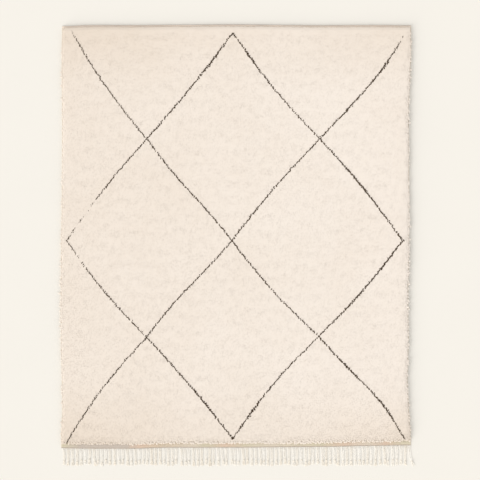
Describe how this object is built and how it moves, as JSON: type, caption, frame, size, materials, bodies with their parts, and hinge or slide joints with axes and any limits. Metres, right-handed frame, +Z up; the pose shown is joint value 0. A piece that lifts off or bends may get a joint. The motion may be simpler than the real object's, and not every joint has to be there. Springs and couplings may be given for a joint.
{
  "type": "beni ourain rug",
  "caption": "Thick flat rug in ivory knotted wool with a dark brown diamond lattice, narrow flat-woven end bands and a knotted warp fringe along one end.",
  "frame": {"origin": "on the flat underside, in the middle of the woven rug without its fringe", "axes": "+X across the rug, +Y along it from the fringed foot to the head, +Z up through the pile"},
  "size_m": [2.0405, 2.5498, 0.0249],
  "materials": {
    "pile_wool": "undyed ivory wool pile, matt with a soft sheen, with the lattice knotted in dark brown wool",
    "band_weave": "flat weave in mixed tan, olive and rose wool",
    "warp_yarn": "plied off-white warp yarn"
  },
  "bodies": {
    "root": {"pile_field": "pile_wool", "foot_band": "band_weave", "head_band": "band_weave", "fringe": "warp_yarn"}
  },
  "joints": []
}
